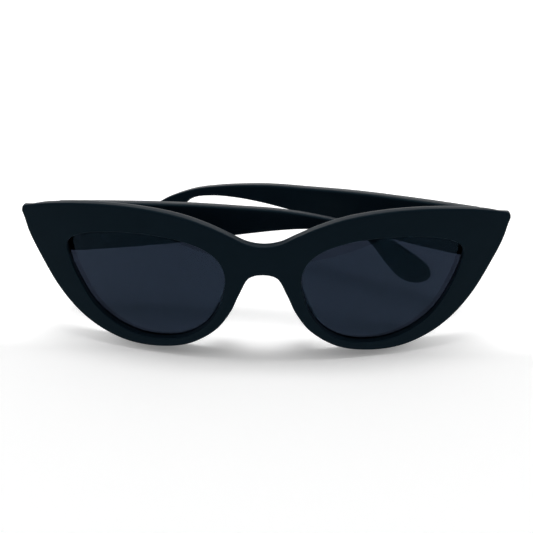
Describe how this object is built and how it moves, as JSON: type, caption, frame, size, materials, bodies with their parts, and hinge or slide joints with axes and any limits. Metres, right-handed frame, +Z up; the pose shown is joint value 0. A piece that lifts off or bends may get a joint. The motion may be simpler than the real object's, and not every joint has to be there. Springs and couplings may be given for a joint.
{
  "type": "cat eye sunglasses",
  "caption": "Folded cat eye sunglasses: swept black front with two dark lenses, and two hinged temples with paddle tips.",
  "frame": {"origin": "centre of the box of the folded glasses, on the surface that they stand on", "axes": "+X towards the wearer's left, +Y from the front back towards the wearer, +Z up"},
  "size_m": [0.149, 0.0572, 0.0437],
  "materials": {
    "frame": "matte black injection moulded plastic, smooth with a faint sheen",
    "lens": "dark blue-grey tinted plastic, polished, uniform tint",
    "hinge": "black coated, satin",
    "screw": "polished"
  },
  "bodies": {
    "front": {"front": "frame", "left_lens": "lens", "right_lens": "lens", "left_front_hinge": "hinge", "right_front_hinge": "hinge", "left_hinge_screw": "screw", "right_hinge_screw": "screw", "left_front_rivets": "screw", "right_front_rivets": "screw"},
    "left_temple": {"left_temple": "frame", "left_temple_hinge": "hinge", "left_temple_rivets": "screw"},
    "right_temple": {"right_temple": "frame", "right_temple_hinge": "hinge", "right_temple_rivets": "screw"}
  },
  "joints": [
    {"name": "left_fold", "type": "hinge", "parent": "front", "child": "left_temple", "pos_m": [0.064, -0.0036, 0.02463], "axis": [0, -0.3964, -0.9181], "range_deg": [0, 68.4]},
    {"name": "right_fold", "type": "hinge", "parent": "front", "child": "right_temple", "pos_m": [-0.064, -0.0036, 0.02463], "axis": [0, 0.3964, 0.9181], "range_deg": [0, 88]}
  ],
  "couplings": [
    {"joint": "right_fold", "follows": "left_fold", "ratio": 0.45}
  ]
}
